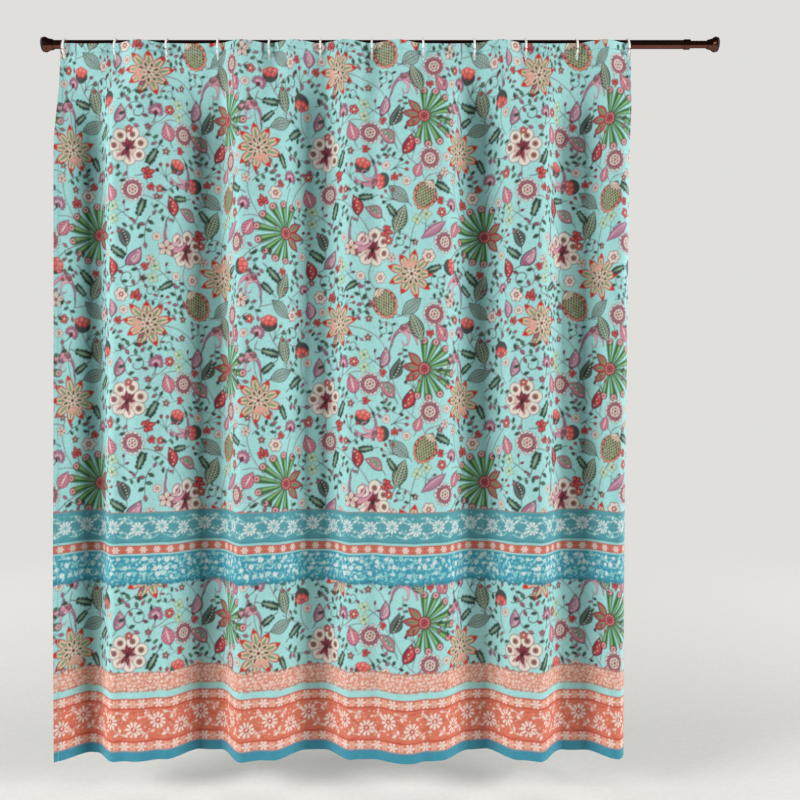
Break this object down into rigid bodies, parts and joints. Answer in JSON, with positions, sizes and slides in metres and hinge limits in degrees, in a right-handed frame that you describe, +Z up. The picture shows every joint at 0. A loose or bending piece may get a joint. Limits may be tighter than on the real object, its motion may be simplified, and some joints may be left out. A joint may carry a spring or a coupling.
{
  "type": "shower curtain",
  "caption": "Printed fabric shower curtain with a floral field and patterned border bands, hung in folds from snap rings on a twist-tight tension rod.",
  "frame": {"origin": "centre of the left end pad's outer face, where the rod presses on the wall", "axes": "+X along the rod to the right, -Y towards a person outside the bath, +Z up"},
  "size_m": [1.7289, 0.0807, 1.85],
  "materials": {
    "bronze": "polished dark bronze plating on steel tube",
    "pad_rubber": "matt",
    "lock_nylon": "moulded nylon",
    "screw_steel": "zinc plated",
    "ring_plastic": "gloss, moulded",
    "cloth": "printed plain-weave polyester"
  },
  "bodies": {
    "rod_outer": {"rod_outer_tube": "bronze", "end_cap_left": "bronze", "end_pad_left": "pad_rubber", "rod_seam_collar": "bronze"},
    "rod_inner": {"rod_inner_tube": "bronze", "end_cap_right": "bronze", "end_pad_right": "pad_rubber", "lock_plug": "lock_nylon", "lock_bush": "lock_nylon", "lock_screw": "screw_steel"},
    "ring_01": {"ring_01": "ring_plastic"},
    "ring_02": {"ring_02": "ring_plastic"},
    "ring_03": {"ring_03": "ring_plastic"},
    "ring_04": {"ring_04": "ring_plastic"},
    "ring_05": {"ring_05": "ring_plastic"},
    "ring_06": {"ring_06": "ring_plastic"},
    "ring_07": {"ring_07": "ring_plastic"},
    "ring_08": {"ring_08": "ring_plastic"},
    "ring_09": {"ring_09": "ring_plastic"},
    "ring_10": {"ring_10": "ring_plastic"},
    "ring_11": {"ring_11": "ring_plastic"},
    "ring_12": {"ring_12": "ring_plastic"},
    "leaf_01": {"cloth_01": "cloth"},
    "leaf_02": {"cloth_02": "cloth"},
    "leaf_03": {"cloth_03": "cloth"},
    "leaf_04": {"cloth_04": "cloth"},
    "leaf_05": {"cloth_05": "cloth"},
    "leaf_06": {"cloth_06": "cloth"},
    "leaf_07": {"cloth_07": "cloth"},
    "leaf_08": {"cloth_08": "cloth"},
    "leaf_09": {"cloth_09": "cloth"},
    "leaf_10": {"cloth_10": "cloth"},
    "leaf_11": {"cloth_11": "cloth"},
    "leaf_12": {"cloth_12": "cloth"},
    "leaf_13": {"cloth_13": "cloth"},
    "leaf_14": {"cloth_14": "cloth"},
    "leaf_15": {"cloth_15": "cloth"},
    "leaf_16": {"cloth_16": "cloth"},
    "leaf_17": {"cloth_17": "cloth"},
    "leaf_18": {"cloth_18": "cloth"},
    "leaf_19": {"cloth_19": "cloth"},
    "leaf_20": {"cloth_20": "cloth"},
    "leaf_21": {"cloth_21": "cloth"},
    "leaf_22": {"cloth_22": "cloth"}
  },
  "joints": [
    {"name": "rod_extend", "type": "slide", "parent": "rod_outer", "child": "rod_inner", "axis": [1, 0, 0], "range_m": [-0.03, 0.3]},
    {"name": "curtain_travel", "type": "slide", "parent": "rod_outer", "child": "ring_01", "axis": [1, 0, 0], "range_m": [-0.025, 0.025]},
    {"name": "gather", "type": "hinge", "parent": "ring_01", "child": "leaf_01", "pos_m": [0.06, -0.0131, -0.033], "axis": [0, 0, -1], "range_deg": [-5, 30]},
    {"name": "fold_at_crest_01", "type": "hinge", "parent": "leaf_01", "child": "leaf_02", "pos_m": [0.1253, -0.06307, -0.033], "axis": [0, 0, -1], "range_deg": [-60.5, 10.5]},
    {"name": "ring_02_turn", "type": "hinge", "parent": "leaf_02", "child": "ring_02", "pos_m": [0.1906, -0.0131, -0.033], "axis": [0, 0, -1], "range_deg": [-5.5, 30.5]},
    {"name": "fold_at_ring_02", "type": "hinge", "parent": "leaf_02", "child": "leaf_03", "pos_m": [0.1906, -0.0131, -0.033], "axis": [0, 0, -1], "range_deg": [-10.5, 60.5]},
    {"name": "fold_at_crest_02", "type": "hinge", "parent": "leaf_03", "child": "leaf_04", "pos_m": [0.2559, -0.06307, -0.033], "axis": [0, 0, -1], "range_deg": [-60.5, 10.5]},
    {"name": "ring_03_turn", "type": "hinge", "parent": "leaf_04", "child": "ring_03", "pos_m": [0.3212, -0.0131, -0.033], "axis": [0, 0, -1], "range_deg": [-5.5, 30.5]},
    {"name": "fold_at_ring_03", "type": "hinge", "parent": "leaf_04", "child": "leaf_05", "pos_m": [0.3212, -0.0131, -0.033], "axis": [0, 0, -1], "range_deg": [-10.5, 60.5]},
    {"name": "fold_at_crest_03", "type": "hinge", "parent": "leaf_05", "child": "leaf_06", "pos_m": [0.3865, -0.06307, -0.033], "axis": [0, 0, -1], "range_deg": [-60.5, 10.5]},
    {"name": "ring_04_turn", "type": "hinge", "parent": "leaf_06", "child": "ring_04", "pos_m": [0.4518, -0.0131, -0.033], "axis": [0, 0, -1], "range_deg": [-5.5, 30.5]},
    {"name": "fold_at_ring_04", "type": "hinge", "parent": "leaf_06", "child": "leaf_07", "pos_m": [0.4518, -0.0131, -0.033], "axis": [0, 0, -1], "range_deg": [-10.5, 60.5]},
    {"name": "fold_at_crest_04", "type": "hinge", "parent": "leaf_07", "child": "leaf_08", "pos_m": [0.5171, -0.06307, -0.033], "axis": [0, 0, -1], "range_deg": [-60.5, 10.5]},
    {"name": "ring_05_turn", "type": "hinge", "parent": "leaf_08", "child": "ring_05", "pos_m": [0.5824, -0.0131, -0.033], "axis": [0, 0, -1], "range_deg": [-5.5, 30.5]},
    {"name": "fold_at_ring_05", "type": "hinge", "parent": "leaf_08", "child": "leaf_09", "pos_m": [0.5824, -0.0131, -0.033], "axis": [0, 0, -1], "range_deg": [-10.5, 60.5]},
    {"name": "fold_at_crest_05", "type": "hinge", "parent": "leaf_09", "child": "leaf_10", "pos_m": [0.6477, -0.06307, -0.033], "axis": [0, 0, -1], "range_deg": [-60.5, 10.5]},
    {"name": "ring_06_turn", "type": "hinge", "parent": "leaf_10", "child": "ring_06", "pos_m": [0.713, -0.0131, -0.033], "axis": [0, 0, -1], "range_deg": [-5.5, 30.5]},
    {"name": "fold_at_ring_06", "type": "hinge", "parent": "leaf_10", "child": "leaf_11", "pos_m": [0.713, -0.0131, -0.033], "axis": [0, 0, -1], "range_deg": [-10.5, 60.5]},
    {"name": "fold_at_crest_06", "type": "hinge", "parent": "leaf_11", "child": "leaf_12", "pos_m": [0.7783, -0.06307, -0.033], "axis": [0, 0, -1], "range_deg": [-60.5, 10.5]},
    {"name": "ring_07_turn", "type": "hinge", "parent": "leaf_12", "child": "ring_07", "pos_m": [0.8436, -0.0131, -0.033], "axis": [0, 0, -1], "range_deg": [-5.5, 30.5]},
    {"name": "fold_at_ring_07", "type": "hinge", "parent": "leaf_12", "child": "leaf_13", "pos_m": [0.8436, -0.0131, -0.033], "axis": [0, 0, -1], "range_deg": [-10.5, 60.5]},
    {"name": "fold_at_crest_07", "type": "hinge", "parent": "leaf_13", "child": "leaf_14", "pos_m": [0.9089, -0.06307, -0.033], "axis": [0, 0, -1], "range_deg": [-60.5, 10.5]},
    {"name": "ring_08_turn", "type": "hinge", "parent": "leaf_14", "child": "ring_08", "pos_m": [0.9742, -0.0131, -0.033], "axis": [0, 0, -1], "range_deg": [-5.5, 30.5]},
    {"name": "fold_at_ring_08", "type": "hinge", "parent": "leaf_14", "child": "leaf_15", "pos_m": [0.9742, -0.0131, -0.033], "axis": [0, 0, -1], "range_deg": [-10.5, 60.5]},
    {"name": "fold_at_crest_08", "type": "hinge", "parent": "leaf_15", "child": "leaf_16", "pos_m": [1.0395, -0.06307, -0.033], "axis": [0, 0, -1], "range_deg": [-60.5, 10.5]},
    {"name": "ring_09_turn", "type": "hinge", "parent": "leaf_16", "child": "ring_09", "pos_m": [1.1048, -0.0131, -0.033], "axis": [0, 0, -1], "range_deg": [-5.5, 30.5]},
    {"name": "fold_at_ring_09", "type": "hinge", "parent": "leaf_16", "child": "leaf_17", "pos_m": [1.1048, -0.0131, -0.033], "axis": [0, 0, -1], "range_deg": [-10.5, 60.5]},
    {"name": "fold_at_crest_09", "type": "hinge", "parent": "leaf_17", "child": "leaf_18", "pos_m": [1.1701, -0.06307, -0.033], "axis": [0, 0, -1], "range_deg": [-60.5, 10.5]},
    {"name": "ring_10_turn", "type": "hinge", "parent": "leaf_18", "child": "ring_10", "pos_m": [1.2354, -0.0131, -0.033], "axis": [0, 0, -1], "range_deg": [-5.5, 30.5]},
    {"name": "fold_at_ring_10", "type": "hinge", "parent": "leaf_18", "child": "leaf_19", "pos_m": [1.2354, -0.0131, -0.033], "axis": [0, 0, -1], "range_deg": [-10.5, 60.5]},
    {"name": "fold_at_crest_10", "type": "hinge", "parent": "leaf_19", "child": "leaf_20", "pos_m": [1.3007, -0.06307, -0.033], "axis": [0, 0, -1], "range_deg": [-60.5, 10.5]},
    {"name": "ring_11_turn", "type": "hinge", "parent": "leaf_20", "child": "ring_11", "pos_m": [1.366, -0.0131, -0.033], "axis": [0, 0, -1], "range_deg": [-5.5, 30.5]},
    {"name": "fold_at_ring_11", "type": "hinge", "parent": "leaf_20", "child": "leaf_21", "pos_m": [1.366, -0.0131, -0.033], "axis": [0, 0, -1], "range_deg": [-10.5, 60.5]},
    {"name": "fold_at_crest_11", "type": "hinge", "parent": "leaf_21", "child": "leaf_22", "pos_m": [1.4313, -0.06307, -0.033], "axis": [0, 0, -1], "range_deg": [-60.5, 10.5]},
    {"name": "ring_12_turn", "type": "hinge", "parent": "leaf_22", "child": "ring_12", "pos_m": [1.4966, -0.0131, -0.033], "axis": [0, 0, -1], "range_deg": [-5.5, 30.5]}
  ],
  "couplings": [
    {"joint": "fold_at_crest_01", "follows": "gather", "ratio": -2},
    {"joint": "ring_02_turn", "follows": "gather", "ratio": 1},
    {"joint": "fold_at_ring_02", "follows": "gather", "ratio": 2},
    {"joint": "fold_at_crest_02", "follows": "gather", "ratio": -2},
    {"joint": "ring_03_turn", "follows": "gather", "ratio": 1},
    {"joint": "fold_at_ring_03", "follows": "gather", "ratio": 2},
    {"joint": "fold_at_crest_03", "follows": "gather", "ratio": -2},
    {"joint": "ring_04_turn", "follows": "gather", "ratio": 1},
    {"joint": "fold_at_ring_04", "follows": "gather", "ratio": 2},
    {"joint": "fold_at_crest_04", "follows": "gather", "ratio": -2},
    {"joint": "ring_05_turn", "follows": "gather", "ratio": 1},
    {"joint": "fold_at_ring_05", "follows": "gather", "ratio": 2},
    {"joint": "fold_at_crest_05", "follows": "gather", "ratio": -2},
    {"joint": "ring_06_turn", "follows": "gather", "ratio": 1},
    {"joint": "fold_at_ring_06", "follows": "gather", "ratio": 2},
    {"joint": "fold_at_crest_06", "follows": "gather", "ratio": -2},
    {"joint": "ring_07_turn", "follows": "gather", "ratio": 1},
    {"joint": "fold_at_ring_07", "follows": "gather", "ratio": 2},
    {"joint": "fold_at_crest_07", "follows": "gather", "ratio": -2},
    {"joint": "ring_08_turn", "follows": "gather", "ratio": 1},
    {"joint": "fold_at_ring_08", "follows": "gather", "ratio": 2},
    {"joint": "fold_at_crest_08", "follows": "gather", "ratio": -2},
    {"joint": "ring_09_turn", "follows": "gather", "ratio": 1},
    {"joint": "fold_at_ring_09", "follows": "gather", "ratio": 2},
    {"joint": "fold_at_crest_09", "follows": "gather", "ratio": -2},
    {"joint": "ring_10_turn", "follows": "gather", "ratio": 1},
    {"joint": "fold_at_ring_10", "follows": "gather", "ratio": 2},
    {"joint": "fold_at_crest_10", "follows": "gather", "ratio": -2},
    {"joint": "ring_11_turn", "follows": "gather", "ratio": 1},
    {"joint": "fold_at_ring_11", "follows": "gather", "ratio": 2},
    {"joint": "fold_at_crest_11", "follows": "gather", "ratio": -2},
    {"joint": "ring_12_turn", "follows": "gather", "ratio": 1}
  ]
}
